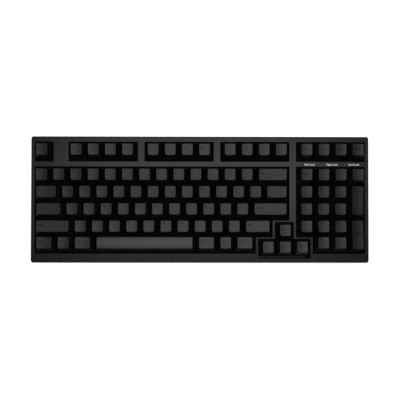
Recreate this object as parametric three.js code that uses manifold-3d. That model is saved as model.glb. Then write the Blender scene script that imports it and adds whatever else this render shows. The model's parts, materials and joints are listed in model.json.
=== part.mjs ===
// Compact full-size mechanical keyboard with 98 keys. Millimetres, +Z up.
// The origin is the centre of the footprint, on the surface that the keyboard rests on;
// +X is to the typist's right and +Y runs away from the typist.
import * as THREE from 'three';
import { mergeVertices } from 'three/addons/utils/BufferGeometryUtils.js';
import Module from 'manifold-3d';

const wasm = await Module();
wasm.setup();

// ---------------------------------------------------------------- driving dimensions
const PITCH = 19.05; // centre distance of two neighbouring keys, one unit
const CELLS_WIDE = 19.5; // key field, in units
const CELLS_DEEP = 6.5;
const GAP = 0.3; // clearance between neighbouring pieces
const BITE = 0.1; // how far bodies that are joined run into each other
const FAR = 600; // reach of tools that pass right through the case

// Case
const CASE_WIDTH = 382;
const CASE_DEPTH = 142.4;
const CASE_CORNER = 2.5;
const FRONT_HEIGHT = 21; // top front edge above the resting surface
const TILT = THREE.MathUtils.degToRad(4.5); // slope of the deck, the top face of the case
const FRONT_MARGIN = 11.2; // deck in front of the key field, along the slope
const WALL = 2.2;
const ROOF = 2.5;
const EDGE_BEVEL = 1;
const LID = 2; // depth of the bevelled lid, below which the walls are upright
const BOTTOM_FACE = 2; // underside of the bottom case
const FLOOR = 2.4;

// Levels measured from the deck, positive outwards
const PARTING = -10.5; // where the two shells meet
const APRON_END = -7.6;
const PLATE_TOP = -8;
const BOARD_TOP = -13;
const HOUSING_TOP = -1.4;
const WELL_END = -8.5;
const STEM_END = -2.4;
const CAP_SKIRT = -1.6;
const WIRE_LEVEL = -6.9;
const CLIP_TOP = -5.9;
const LIGHT_FOOT = -6;
const LIGHT_TOP = 0.2;

// Bezel openings
const OPENING_X = 0.78; // how far an opening reaches past its keys' cells
const OPENING_Y = 1.38;
const APRON = 1.6; // wall that hangs from the bezel round each opening

// Plate, board and switches
const SHEET_REACH = 1.5; // plate and board reach past the key field by this
const PLATE_THICK = 1.5;
const BOARD_THICK = 1.6;
const HOUSING_SHEET = 0.7;
const HOUSING_SIDE = 13.7;
const HOUSING_LEAN = 1.5;
const STEM_SIDE = 4;
const STEM_WELL = 5;
const CHIP_SIDE = 10;
const CHIP_THICK = 1.4;

// Keycaps
const CAP_BASE = 18.1; // one-unit keycap, outside, at its skirt
const CAP_CORNER = 1.1; // bevel of the upright corners
const CAP_TOP_WIDE = 12.25;
const CAP_TOP_DEEP = 13.4;
const CAP_WALL = 1.4;
const CAP_ROOF = 2.6;
const DISH = 0.5;
const DISH_FACETS = 4;
const CROWN = 0.3; // rise of the space bar's round top
const CROWN_FACETS = 4;
const SIDE_STEM = 3; // square stems over the arms of a stabiliser wire
const BRIDGE = 1.6; // half length and width of the web between neighbouring caps
const BRIDGE_THICK = 1;

// Stabilisers
const WIRE_RADIUS = 0.6;
const WIRE_ARM = 5.6;
const WIRE_AHEAD = 8.3; // pivot line of a wire in front of its key's centre, right of it for a tall key
const WIRE_RISE = THREE.MathUtils.degToRad(44.1);
const CLIP_INSET = 2.2; // clips stand this far inside the wire's arms
const CLIP_HALF = 0.8;
const CLIP_THICK = 0.8;
const NARROW_SPREAD = 11.94; // stabiliser arms, from the key's centre
const SPACE_SPREAD = 47.6;

// Tilt feet
const FOOT_WIDTH = 24;
const FOOT_LENGTH = 20;
const FOOT_THICK = 4;
const FOOT_X = 165;
const FOOT_PIVOT_Y = 58;
const FOOT_PLAY = 0.5;
const FOOT_PIN = 1; // radius
const FOOT_PIN_REACH = 0.8; // length of the pins in the walls of the pocket
const FINGER_ROOM = 3;
const POCKET_HEIGHT = 5.2;
const POCKET_WALL = 1.5;

// Rubber pads
const PAD_LENGTH = 26;
const PAD_DEPTH = 8;
const PAD_HEIGHT = 2.5;
const PAD_CORNER = 2;
const FRONT_PAD_X = 172;
const REAR_PAD_X = 132;
const PAD_INSET = 9;

// Case screws
const SCREW_CELLS = [[6.25, 6], [15.25, 6], [2.6, -0.28], [16.9, -0.28]]; // in units
const SCREW_HEAD = 2.75; // radius
const SCREW_SHANK = 1.4; // radius
const SCREW_DRIVE = 1.1; // radius of the six-sided recess
const SCREW_DRIVE_DEEP = 1;
const SCREW_SUNK = 0.4;
const SCREW_HEAD_TOP = 4.5;
const SCREW_END = 17;
const POST_RADIUS = 3.2;
const POST_FOOT = 8;
const BOSS_RADIUS = 4.6;
const PASSAGE_RADIUS = 4.4;

// Supports under the board, in units, and their radius
const RIB_CELLS = [[3.25, 0.9], [9.75, 2], [15.25, 3], [4, 4], [12, 4]];
const RIB_RADIUS = 2.5;

// USB socket
const SOCKET = {
  x: -110, halfWide: 5.5, front: 57.7, back: 70.6, low: 7.8, high: 14.6, mouthWide: 8.6, mouthHigh: 5, end: 2,
};
const CRADLE_WALL = 1.5;
const CRADLE_TOP = 16;

// Indicator lights
const LIGHT_X = [15.81, 17.11, 18.38]; // in units
const LIGHT_Y = 5.25;
const LIGHT_RADIUS = 1;

// ---------------------------------------------------------------- materials
function paint(color, roughness, metalness) {
  return new THREE.MeshStandardMaterial({ color, roughness, metalness });
}

const CASE_PLASTIC = paint(0x2b2c2e, 0.75, 0);
const CAP_PLASTIC = paint(0x333437, 0.65, 0);
const HOUSING_PLASTIC = paint(0x151516, 0.5, 0);
const STEEL = paint(0x4a4c50, 0.45, 1);
const BRIGHT_STEEL = paint(0xb9bcc0, 0.25, 1);
const BOARD = paint(0x1d3a2a, 0.6, 0);
const CHIP = paint(0x121214, 0.4, 0);
const RUBBER = paint(0x161616, 0.95, 0);
const LENS = paint(0xdfe6e8, 0.2, 0);

// ---------------------------------------------------------------- shape helpers
function solid(geometry) {
  const bare = geometry.clone();
  bare.deleteAttribute('normal');
  bare.deleteAttribute('uv');
  const merged = mergeVertices(bare, 1e-4);
  return new wasm.Manifold(new wasm.Mesh({
    numProp: 3,
    vertProperties: new Float32Array(merged.attributes.position.array),
    triVerts: new Uint32Array(merged.index.array),
  }));
}

function geometryOf(body) {
  const { vertProperties, triVerts } = body.getMesh();
  const geometry = new THREE.BufferGeometry();
  geometry.setAttribute('position', new THREE.BufferAttribute(vertProperties, 3));
  geometry.setIndex(new THREE.BufferAttribute(triVerts, 1));
  const flat = geometry.toNonIndexed();
  flat.computeVertexNormals();
  return flat;
}

const joined = (bodies) => bodies.reduce((sum, body) => sum.add(body));
const cut = (body, tools) => tools.reduce((rest, tool) => rest.subtract(tool), body);

function polygon(points) {
  return new THREE.Shape(points.map(([x, y]) => new THREE.Vector2(x, y)));
}

function rectangle(x0, y0, x1, y1) {
  return polygon([[x0, y0], [x1, y0], [x1, y1], [x0, y1]]);
}

// A rectangle round the origin with bevelled corners.
function bevelled(halfWide, halfDeep, bevel) {
  const [x, y] = [halfWide - bevel, halfDeep - bevel];
  return polygon([
    [x, -halfDeep], [halfWide, -y], [halfWide, y], [x, halfDeep],
    [-x, halfDeep], [-halfWide, y], [-halfWide, -y], [-x, -halfDeep],
  ]);
}

function rounded(x0, y0, x1, y1, radius) {
  const shape = new THREE.Shape();
  shape.absarc(x1 - radius, y0 + radius, radius, -Math.PI / 2, 0);
  shape.absarc(x1 - radius, y1 - radius, radius, 0, Math.PI / 2);
  shape.absarc(x0 + radius, y1 - radius, radius, Math.PI / 2, Math.PI);
  shape.absarc(x0 + radius, y0 + radius, radius, Math.PI, 1.5 * Math.PI);
  return shape;
}

// An upright prism from z0 to z1.
function prism(shape, z0, z1, curveSegments = 2) {
  const geometry = new THREE.ExtrudeGeometry(shape, { depth: z1 - z0, bevelEnabled: false, curveSegments });
  return geometry.translate(0, 0, z0);
}

const box = (x0, y0, x1, y1, z0, z1) => prism(rectangle(x0, y0, x1, y1), z0, z1);

// An upright round bar.
function bar(x, y, radius, z0, z1, sides = 8) {
  const geometry = new THREE.CylinderGeometry(radius, radius, z1 - z0, sides);
  return geometry.rotateX(Math.PI / 2).translate(x, y, (z0 + z1) / 2);
}

// A prism whose section lies in the YZ plane, from x0 to x1.
function beam(points, x0, x1) {
  const geometry = new THREE.ExtrudeGeometry(polygon(points), { depth: x1 - x0, bevelEnabled: false });
  return geometry.applyMatrix4(new THREE.Matrix4().set(
    0, 0, 1, x0,
    1, 0, 0, 0,
    0, 1, 0, 0,
    0, 0, 0, 1,
  ));
}

// Leans the walls of an upright prism that stands on z = 0 round the Z axis: each wall comes in
// by its own amount at the top, and the top face takes a slope along Y.
function lean(geometry, height, { sides, front, back, slope = 0 }) {
  const position = geometry.attributes.position;
  for (let i = 0; i < position.count; i += 1) {
    const [x, y, z] = [position.getX(i), position.getY(i), position.getZ(i)];
    const k = z / height;
    const moved = y + k * (y < 0 ? front : -back);
    position.setXYZ(i, x - Math.sign(x) * sides * k, moved, z + k * slope * moved);
  }
  return geometry;
}

// ---------------------------------------------------------------- deck frame
// Local z is the height over the deck and local y runs up the slope from the case's front edge.
const deck = new THREE.Group();
deck.rotation.x = TILT;
deck.position.set(0, -CASE_DEPTH / 2, FRONT_HEIGHT);
deck.updateMatrix();
const fromDeck = (geometry) => geometry.applyMatrix4(deck.matrix);

const cellX = (units) => (units - CELLS_WIDE / 2) * PITCH;
const cellY = (units) => FRONT_MARGIN + units * PITCH;
const SLOPE_LENGTH = CASE_DEPTH / Math.cos(TILT);

// ---------------------------------------------------------------- key layout
// y is the centre of the row in units from the front of the key field, top the height of the
// keycaps over the deck, slope the rise of their tops towards the back, and back how far the
// back wall leans in.
const ROW = {
  f: { y: 5.985, top: 9.9, slope: 0.06, back: 0.5 },
  n: { y: 4.5, top: 9.9, slope: 0.06, back: 0.1 },
  q: { y: 3.5, top: 8.7, slope: 0.04, back: 0.35 },
  a: { y: 2.5, top: 8, slope: 0, back: 0.45 },
  z: { y: 1.5, top: 8.9, slope: -0.05, back: 0.65 },
  b: { y: 0.5, top: 8.2, slope: -0.08, back: 0 },
  up: { y: 1.25, top: 8.9, slope: -0.05, back: 0.35 },
  arrow: { y: 0.25, top: 8.2, slope: -0.08, back: 0 },
  plus: { y: 3, top: 8.4, slope: 0.02, back: 0.35, tall: 2 },
  enter: { y: 1, top: 8.6, slope: -0.05, back: 0.35, tall: 2 },
};

// name, row, left edge in units, width in units, number of keys side by side
const KEYS = [
  ['esc_key', 'f', 0, 1, 1],
  ['f1_to_f4_keys', 'f', 2, 1, 4],
  ['f5_to_f8_keys', 'f', 6.5, 1, 4],
  ['f9_to_f12_keys', 'f', 11, 1, 4],
  ['navigation_keys', 'f', 15.5, 1, 4],
  ['digit_row_keys', 'n', 0, 1, 13],
  ['backspace_key', 'n', 13, 2, 1],
  ['numpad_operator_keys', 'n', 15.5, 1, 4],
  ['tab_key', 'q', 0, 1.5, 1],
  ['upper_letter_keys', 'q', 1.5, 1, 12],
  ['backslash_key', 'q', 13.5, 1.5, 1],
  ['numpad_789_keys', 'q', 15.5, 1, 3],
  ['numpad_plus_key', 'plus', 18.5, 1, 1],
  ['caps_lock_key', 'a', 0, 1.75, 1],
  ['home_letter_keys', 'a', 1.75, 1, 11],
  ['enter_key', 'a', 12.75, 2.25, 1],
  ['numpad_456_keys', 'a', 15.5, 1, 3],
  ['left_shift_key', 'z', 0, 2.25, 1],
  ['lower_letter_keys', 'z', 2.25, 1, 10],
  ['right_shift_key', 'z', 12.25, 1.75, 1],
  ['up_key', 'up', 14.25, 1, 1],
  ['numpad_123_keys', 'z', 15.5, 1, 3],
  ['numpad_enter_key', 'enter', 18.5, 1, 1],
  ['left_ctrl_key', 'b', 0, 1.25, 1],
  ['left_meta_key', 'b', 1.25, 1, 1],
  ['left_alt_key', 'b', 2.25, 1.25, 1],
  ['space_key', 'b', 3.5, 6, 1],
  ['right_alt_key', 'b', 9.5, 1.25, 1],
  ['fn_key', 'b', 10.75, 1, 1],
  ['right_ctrl_key', 'b', 11.75, 1.25, 1],
  ['left_key', 'arrow', 13.25, 1, 1],
  ['down_key', 'arrow', 14.25, 1, 1],
  ['right_key', 'arrow', 15.25, 1, 1],
  ['numpad_0_dot_keys', 'b', 16.5, 1, 2],
].map(([name, row, left, width, count]) => ({ name, row: ROW[row], left, width, count }));

// Stabilised keys: arms' distance from the key's centre, and whether the wire runs along Y.
const STABILISED = {
  backspace: { key: 'backspace_key', spread: NARROW_SPREAD },
  enter: { key: 'enter_key', spread: NARROW_SPREAD },
  left_shift: { key: 'left_shift_key', spread: NARROW_SPREAD },
  space: { key: 'space_key', spread: SPACE_SPREAD },
  numpad_plus: { key: 'numpad_plus_key', spread: NARROW_SPREAD, upright: true },
  numpad_enter: { key: 'numpad_enter_key', spread: NARROW_SPREAD, upright: true },
};

// Centre of each key of an entry, in the deck frame.
function centres({ row, left, width, count }) {
  return Array.from({ length: count }, (_, i) => [cellX(left + (i + 0.5) * width), cellY(row.y)]);
}

const stabiliserOf = (name) => Object.values(STABILISED).find(({ key }) => key === name);

// ---------------------------------------------------------------- keycaps
// One keycap with its stem, standing on its skirt at z = 0 round the origin.
function keycap({ row, width, name }) {
  const halfWide = (width * PITCH - (PITCH - CAP_BASE)) / 2;
  const halfDeep = ((row.tall ?? 1) * PITCH - (PITCH - CAP_BASE)) / 2;
  const height = row.top - CAP_SKIRT;
  const sides = (CAP_BASE - CAP_TOP_WIDE) / 2;
  const { back, slope } = row;
  const front = CAP_BASE - CAP_TOP_DEEP - back;
  const outline = bevelled(halfWide, halfDeep, CAP_CORNER);
  const outer = solid(lean(prism(outline, 0, height), height, { sides, front, back, slope }));
  const shaped = name === 'space_key'
    ? outer.intersect(crowned(-halfDeep + front, halfDeep - back, halfWide, height, slope))
    : outer.subtract(dished(halfWide - sides, halfDeep, height, slope));

  const hollowHigh = height - CAP_ROOF;
  const share = hollowHigh / height;
  const [innerWide, innerDeep] = [halfWide - CAP_WALL, halfDeep - CAP_WALL];
  const hollow = lean(box(-innerWide, -innerDeep, innerWide, innerDeep, -BITE, hollowHigh), hollowHigh, {
    sides: sides * share, front: front * share, back: back * share, slope,
  });
  return joined([shaped.subtract(solid(hollow)), ...stems(name, hollowHigh + 1).map(solid)]);
}

// The stem that goes into the switch, and those over the arms of the key's stabiliser.
function stems(name, top) {
  const foot = STEM_END - CAP_SKIRT;
  const post = (x, y, side) => box(x - side / 2, y - side / 2, x + side / 2, y + side / 2, foot, top);
  const stabiliser = stabiliserOf(name);
  if (!stabiliser) {
    return [post(0, 0, STEM_SIDE)];
  }
  const { spread, upright } = stabiliser;
  const outer = [-spread, spread].map((at) => (upright ? post(0, at, SIDE_STEM) : post(at, 0, SIDE_STEM)));
  return [post(0, 0, STEM_SIDE), ...outer];
}

// Tool that presses a shallow cylindrical dish into a keycap's top.
function dished(halfTop, halfDeep, height, slope) {
  const reach = halfTop + 1;
  const points = Array.from({ length: DISH_FACETS + 1 }, (_, i) => {
    const x = reach * (2 * i / DISH_FACETS - 1);
    return [x, DISH * ((x / halfTop) ** 2 - 1)];
  });
  const depth = 2 * halfDeep + 2;
  const tool = new THREE.ExtrudeGeometry(
    polygon([...points, [reach, height], [-reach, height]]),
    { depth, bevelEnabled: false },
  );
  tool.rotateX(Math.PI / 2).translate(0, depth / 2, 0);
  tool.applyMatrix4(new THREE.Matrix4().makeShear(0, 0, 0, slope, 0, 0));
  return solid(tool.translate(0, 0, height));
}

// Body whose top is the long round crown of the space bar.
function crowned(frontY, backY, halfWide, height, slope) {
  const middle = (frontY + backY) / 2;
  const half = (backY - frontY) / 2;
  const arc = Array.from({ length: CROWN_FACETS + 1 }, (_, i) => {
    const t = 1 - 2 * i / CROWN_FACETS;
    const y = middle + half * t;
    return [y, height + slope * y - CROWN * t * t];
  });
  const shoulder = height - CAP_ROOF;
  const section = [[-PITCH, -1], [PITCH, -1], [PITCH, shoulder], ...arc, [-PITCH, shoulder]];
  return solid(beam(section, -halfWide - 1, halfWide + 1));
}

function keyBody(entry) {
  const cap = keycap(entry);
  const cells = centres(entry);
  const caps = cells.map(([x, y]) => cap.translate([x, y, CAP_SKIRT]));
  const bridges = cells.slice(1).map(([x, y]) => {
    const edge = x - PITCH / 2;
    const top = CAP_SKIRT + BRIDGE_THICK;
    return solid(box(edge - BRIDGE, y - BRIDGE / 2, edge + BRIDGE, y + BRIDGE / 2, CAP_SKIRT, top));
  });
  return joined([...caps, ...bridges]);
}

// ---------------------------------------------------------------- case
// Bezel openings, each the cells that it shows: left, right, front, back in units.
const OPENINGS = [
  [0, 1, 5.497, 6.5],
  [2, 6, 5.497, 6.5],
  [6.5, 10.5, 5.497, 6.5],
  [11, 15, 5.497, 6.5],
  [15.5, 19.5, 5.497, 6.5],
  [0, 15, 2, 5.03],
  [0, 14, 1, 2.2],
  [0, 13, 0.035, 1.2],
  [14.25, 15.25, 0.75, 1.75],
  [13.25, 16.25, -0.25, 0.75],
  [15.5, 19.5, 1, 5.03],
  [16.5, 19.5, 0.035, 1.2],
];

function opening([left, right, front, back], grow, z0, z1) {
  const [x0, x1] = [cellX(left) - OPENING_X - grow, cellX(right) + OPENING_X + grow];
  const [y0, y1] = [cellY(front) - OPENING_Y - grow, cellY(back) + OPENING_Y + grow];
  return solid(fromDeck(box(x0, y0, x1, y1, z0, z1)));
}

// Upright prism with the case's outline brought in by inset.
function block(inset, z0) {
  const [x, y] = [CASE_WIDTH / 2 - inset, CASE_DEPTH / 2 - inset];
  return solid(prism(rounded(-x, -y, x, y, Math.max(CASE_CORNER - inset, GAP)), z0, FAR));
}

// Everything between two levels of the deck frame.
const layer = (z0, z1) => solid(fromDeck(box(-FAR, -FAR, FAR, FAR, z0, z1)));

const SCREWS = SCREW_CELLS
  .map(([x, y]) => new THREE.Vector3(cellX(x), cellY(y), 0).applyMatrix4(deck.matrix))
  .map(({ x, y }) => [x, y]);
const atScrews = (radius, z0, z1) => SCREWS.map(([x, y]) => solid(bar(x, y, radius, z0, z1)));

// The slab whose upper edges are bevelled.
function lid() {
  const inset = EDGE_BEVEL - GAP;
  const [x, y] = [CASE_WIDTH / 2 - inset, SLOPE_LENGTH - inset];
  const geometry = new THREE.ExtrudeGeometry(
    rounded(-x, inset, x, y, CASE_CORNER),
    { depth: LID, bevelThickness: EDGE_BEVEL, bevelSize: EDGE_BEVEL, bevelSegments: 1, curveSegments: 2 },
  );
  return solid(fromDeck(geometry.translate(0, 0, -LID - EDGE_BEVEL))).intersect(layer(-LID, 1));
}

function topCase() {
  const inside = -ROOF + BITE;
  const walls = block(0, 0).intersect(layer(PARTING, BITE - LID));
  const shell = joined([block(0, 0).intersect(lid()), walls])
    .subtract(block(WALL, 0).intersect(layer(PARTING - 1, -ROOF)));
  const aprons = OPENINGS.map((cells) => opening(cells, APRON, APRON_END, inside));
  const posts = atScrews(POST_RADIUS, POST_FOOT, FAR).map((post) => post.intersect(layer(-FAR, inside)));
  const lights = LIGHT_X.map((x) => solid(
    fromDeck(bar(cellX(x), cellY(LIGHT_Y), LIGHT_RADIUS + GAP, LIGHT_FOOT, 1)),
  ));
  const openings = OPENINGS.map((cells) => opening(cells, 0, PARTING, 1));
  const bores = atScrews(SCREW_SHANK + GAP, 0, SCREW_END + 1);
  return cut(joined([shell, ...aprons, ...posts]), [...openings, ...lights, ...bores]);
}

const FOOT_POCKET = {
  halfWide: FOOT_WIDTH / 2 + FOOT_PLAY,
  front: FOOT_PIVOT_Y - FOOT_LENGTH - FINGER_ROOM,
  back: FOOT_PIVOT_Y + FOOT_THICK / 2 + FOOT_PLAY,
};
const FOOT_PIVOT_Z = BOTTOM_FACE + FOOT_PLAY + FOOT_THICK / 2;
const FOOT_SIDES = [['left_tilt_foot', -FOOT_X], ['right_tilt_foot', FOOT_X]];
const PADS = [
  ['front_left_pad', -FRONT_PAD_X, PAD_INSET - CASE_DEPTH / 2],
  ['front_right_pad', FRONT_PAD_X, PAD_INSET - CASE_DEPTH / 2],
  ['rear_left_pad', -REAR_PAD_X, CASE_DEPTH / 2 - PAD_INSET],
  ['rear_right_pad', REAR_PAD_X, CASE_DEPTH / 2 - PAD_INSET],
];

// The pocket of a tilt foot, or the block round it when grow is the thickness of its walls.
const footPocket = (x, grow, z0) => solid(box(
  x - FOOT_POCKET.halfWide - grow, FOOT_POCKET.front - grow,
  x + FOOT_POCKET.halfWide + grow, FOOT_POCKET.back + grow,
  z0, BOTTOM_FACE + POCKET_HEIGHT + grow,
));

function padOutline(grow) {
  const [x, y] = [PAD_LENGTH / 2 + grow, PAD_DEPTH / 2 + grow];
  return rounded(-x, -y, x, y, PAD_CORNER + grow);
}

function bottomCase() {
  const floor = BOTTOM_FACE + 1; // joined bodies start inside the floor
  const shell = block(0, BOTTOM_FACE)
    .subtract(block(WALL, BOTTOM_FACE + FLOOR))
    .intersect(layer(-FAR, PARTING - GAP));
  const underBoard = layer(-FAR, BOARD_TOP - BOARD_THICK - GAP);
  const ribs = RIB_CELLS
    .map(([x, y]) => solid(bar(cellX(x), cellY(y) - CASE_DEPTH / 2, RIB_RADIUS, floor, FAR)))
    .map((rib) => rib.intersect(underBoard));
  const bosses = atScrews(BOSS_RADIUS, floor, POST_FOOT - GAP);
  const pocketBlocks = FOOT_SIDES.map(([, x]) => footPocket(x, POCKET_WALL, floor));
  const { x: socketX, halfWide, front, low, high } = SOCKET;
  const cradleHalf = halfWide + GAP + CRADLE_WALL;
  const rearWall = CASE_DEPTH / 2 - WALL;
  const cradle = solid(box(
    socketX - cradleHalf, front + 1, socketX + cradleHalf, rearWall + BITE, floor, CRADLE_TOP,
  ));
  const body = joined([shell, ...ribs, ...bosses, ...pocketBlocks, cradle]);

  const pockets = FOOT_SIDES.map(([, x]) => footPocket(x, 0, 0));
  const pinHoles = FOOT_SIDES.map(([, x]) => solid(pinBar(x, FOOT_PIN + GAP, FOOT_PIN_REACH + GAP)));
  const padSeat = solid(prism(padOutline(GAP), 0, PAD_HEIGHT + GAP));
  const padSeats = PADS.map(([, x, y]) => padSeat.translate([x, y, 0]));
  const heads = atScrews(SCREW_HEAD + GAP, 0, SCREW_HEAD_TOP + GAP);
  const holes = atScrews(SCREW_SHANK + GAP, 0, SCREW_END);
  const window = solid(box(
    socketX - halfWide - GAP, front, socketX + halfWide + GAP, FAR, low - GAP, high + GAP,
  ));
  return cut(body, [...pockets, ...pinHoles, ...padSeats, ...heads, ...holes, window]);
}

// ---------------------------------------------------------------- inner parts
function sheet(z0, z1) {
  const x = CELLS_WIDE * PITCH / 2 + SHEET_REACH;
  const [front, back] = [cellY(0) - SHEET_REACH, cellY(CELLS_DEEP) + SHEET_REACH];
  const level = (z0 + z1) / 2;
  const passages = SCREWS
    .map(([x0, y0]) => [x0, (y0 + CASE_DEPTH / 2) / Math.cos(TILT) + level * Math.tan(TILT)])
    .filter(([, y0]) => y0 > front)
    .map(([x0, y0]) => solid(bar(x0, y0, PASSAGE_RADIUS, z0 - 1, z1 + 1)));
  return cut(solid(box(-x, front, x, back, z0, z1)), passages);
}

// Places something drawn round a stabilised key's centre, turned along Y for the tall keys.
function atStabiliser({ key, upright }, geometry) {
  const [x, y] = centres(KEYS.find(({ name }) => name === key))[0];
  return geometry.rotateZ(upright ? Math.PI / 2 : 0).translate(x, y, 0);
}

// Two pairs of clips that hold a stabiliser's wire on the plate.
function wireClips(stabiliser) {
  const near = WIRE_AHEAD - WIRE_RADIUS - GAP;
  const far = WIRE_AHEAD + WIRE_RADIUS + GAP;
  return [-1, 1].flatMap((side) => {
    const x = side * (stabiliser.spread - CLIP_INSET);
    const clips = [[-far - CLIP_THICK, -far], [-near, -near + CLIP_THICK]];
    return clips.map(([y0, y1]) => solid(
      atStabiliser(stabiliser, box(x - CLIP_HALF, y0, x + CLIP_HALF, y1, PLATE_TOP - BITE, CLIP_TOP)),
    ));
  });
}

function switchPlate() {
  const low = PLATE_TOP - PLATE_THICK;
  const half = HOUSING_SIDE / 2 + GAP;
  const holes = KEYS.flatMap(centres)
    .map(([x, y]) => solid(box(x - half, y - half, x + half, y + half, low - 1, PLATE_TOP + 1)));
  const clips = Object.values(STABILISED).flatMap(wireClips);
  return joined([cut(sheet(low, PLATE_TOP), holes), ...clips]);
}

// The 98 switch housings stand on one thin sheet that lies over the circuit board.
function switchHousings() {
  const low = BOARD_TOP + GAP;
  const half = HOUSING_SIDE / 2;
  const height = HOUSING_TOP - low;
  const body = lean(box(-half, -half, half, half, 0, height), height, {
    sides: HOUSING_LEAN, front: HOUSING_LEAN, back: HOUSING_LEAN,
  });
  const edge = STEM_WELL / 2;
  const well = solid(box(-edge, -edge, edge, edge, WELL_END, 0));
  const housing = solid(body.translate(0, 0, low)).subtract(well);
  const housings = KEYS.flatMap(centres).map(([x, y]) => housing.translate([x, y, 0]));
  return joined([sheet(low, low + HOUSING_SHEET), ...housings]);
}

// A bent spring wire, drawn round its pivot line, with its arms raised as they are at rest.
function stabiliserWire({ spread }) {
  const rod = (length) => new THREE.CylinderGeometry(WIRE_RADIUS, WIRE_RADIUS, length, 6);
  const long = rod(2 * spread + 2 * WIRE_RADIUS).rotateZ(Math.PI / 2);
  const arms = [-spread, spread].map((x) => rod(WIRE_ARM).translate(0, WIRE_ARM / 2, 0).rotateX(WIRE_RISE)
    .translate(x, 0, 0));
  return joined([long, ...arms].map(solid));
}

// A round bar along X through the pivot of the foot at x, that runs past its pocket by reach.
function pinBar(x, radius, reach) {
  const length = 2 * (FOOT_POCKET.halfWide + reach);
  const geometry = new THREE.CylinderGeometry(radius, radius, length, 12).rotateZ(Math.PI / 2);
  return geometry.translate(x, FOOT_PIVOT_Y, FOOT_PIVOT_Z);
}

function tiltFoot(x) {
  const half = FOOT_WIDTH / 2;
  const leaf = box(
    x - half, FOOT_PIVOT_Y - FOOT_LENGTH, x + half, FOOT_PIVOT_Y,
    FOOT_PIVOT_Z - FOOT_THICK / 2, FOOT_PIVOT_Z + FOOT_THICK / 2,
  );
  const barrel = pinBar(x, FOOT_THICK / 2, -FOOT_PLAY);
  const pin = pinBar(x, FOOT_PIN, FOOT_PIN_REACH);
  return joined([leaf, barrel, pin].map(solid));
}

function screw([x, y]) {
  const face = BOTTOM_FACE + SCREW_SUNK;
  const head = bar(x, y, SCREW_HEAD, face, SCREW_HEAD_TOP);
  const shank = bar(x, y, SCREW_SHANK, SCREW_HEAD_TOP - BITE, SCREW_END);
  const drive = bar(x, y, SCREW_DRIVE, 0, face + SCREW_DRIVE_DEEP, 6);
  return joined([head, shank].map(solid)).subtract(solid(drive));
}

function usbSocket() {
  const { x, halfWide, front, back, low, high, mouthWide, mouthHigh, end } = SOCKET;
  const middle = (low + high) / 2;
  const mouth = box(
    x - mouthWide / 2, front + end, x + mouthWide / 2, FAR, middle - mouthHigh / 2, middle + mouthHigh / 2,
  );
  return solid(box(x - halfWide, front, x + halfWide, back, low, high)).subtract(solid(mouth));
}

// ---------------------------------------------------------------- assembly
const keyboard = new THREE.Group();
keyboard.add(deck);

function place(parent, name, geometry, material) {
  const mesh = new THREE.Mesh(geometry, material);
  mesh.name = name;
  parent.add(mesh);
  return mesh;
}

place(keyboard, 'top_case', geometryOf(topCase()), CASE_PLASTIC);
place(keyboard, 'bottom_case', geometryOf(bottomCase()), CASE_PLASTIC);
place(deck, 'switch_plate', geometryOf(switchPlate()), STEEL);
place(deck, 'circuit_board', geometryOf(sheet(BOARD_TOP - BOARD_THICK, BOARD_TOP)), BOARD);
place(deck, 'switch_housings', geometryOf(switchHousings()), HOUSING_PLASTIC);

for (const entry of KEYS) {
  place(deck, entry.name, geometryOf(keyBody(entry)), CAP_PLASTIC);
}

for (const [name, stabiliser] of Object.entries(STABILISED)) {
  const wire = place(deck, `${name}_wire`, geometryOf(stabiliserWire(stabiliser)), BRIGHT_STEEL);
  const [x, y] = centres(KEYS.find((entry) => entry.name === stabiliser.key))[0];
  const [dx, dy] = stabiliser.upright ? [WIRE_AHEAD, 0] : [0, -WIRE_AHEAD];
  wire.rotation.z = stabiliser.upright ? Math.PI / 2 : 0;
  wire.position.set(x + dx, y + dy, WIRE_LEVEL);
}

for (const [i, name] of ['number_light', 'capitals_light', 'scroll_light'].entries()) {
  const light = bar(0, 0, LIGHT_RADIUS, LIGHT_FOOT, LIGHT_TOP);
  place(deck, name, light, LENS).position.set(cellX(LIGHT_X[i]), cellY(LIGHT_Y), 0);
}

const chip = place(deck, 'controller_chip', new THREE.BoxGeometry(CHIP_SIDE, CHIP_SIDE, CHIP_THICK), CHIP);
chip.position.set(cellX(CELLS_WIDE / 2), cellY(5.25), BOARD_TOP - BOARD_THICK - GAP - CHIP_THICK / 2);

place(keyboard, 'usb_socket', geometryOf(usbSocket()), BRIGHT_STEEL);

for (const [name, x] of FOOT_SIDES) {
  place(keyboard, name, geometryOf(tiltFoot(x)), CASE_PLASTIC);
}

for (const [name, x, y] of PADS) {
  place(keyboard, name, prism(padOutline(0), 0, PAD_HEIGHT), RUBBER).position.set(x, y, 0);
}

for (const [i, at] of SCREWS.entries()) {
  place(keyboard, `case_screw_${i + 1}`, geometryOf(screw(at)), BRIGHT_STEEL);
}

export default keyboard;
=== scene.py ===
"""Visual model of a 98-key mechanical keyboard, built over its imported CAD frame.

The scene is in metres. Pieces are drawn in millimetres and scaled when their mesh is made: those of the
tilted key deck in the deck frame, those of the level base in the level frame.
"""
import json
import math

import bmesh
import bpy
from mathutils import Matrix, Vector
from mathutils.geometry import tessellate_polygon


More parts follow.
